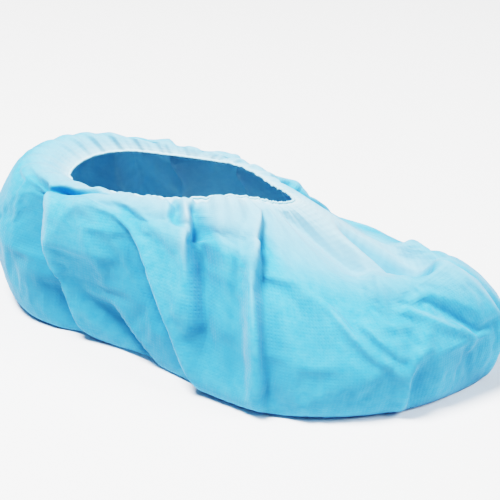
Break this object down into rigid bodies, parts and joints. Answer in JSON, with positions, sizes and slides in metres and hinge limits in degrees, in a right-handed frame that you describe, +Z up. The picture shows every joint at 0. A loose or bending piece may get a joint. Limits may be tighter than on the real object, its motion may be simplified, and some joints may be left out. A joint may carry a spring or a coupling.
{
  "type": "shoe cover",
  "caption": "Disposable shoe cover of light blue nonwoven cloth: a filled-out bag with a seamed toe and heel, an open mouth and a gathered elastic hem.",
  "frame": {"origin": "centre of the bounding box, on the surface it stands on", "axes": "+X from heel to toe, +Y to the far side of the picture, +Z up"},
  "size_m": [0.314, 0.1512, 0.097],
  "materials": {
    "nonwoven": "matte light blue nonwoven",
    "hem": "matte near-white gathered edge"
  },
  "bodies": {
    "root": {"cover_body": "nonwoven", "elastic_hem": "hem"}
  },
  "joints": []
}
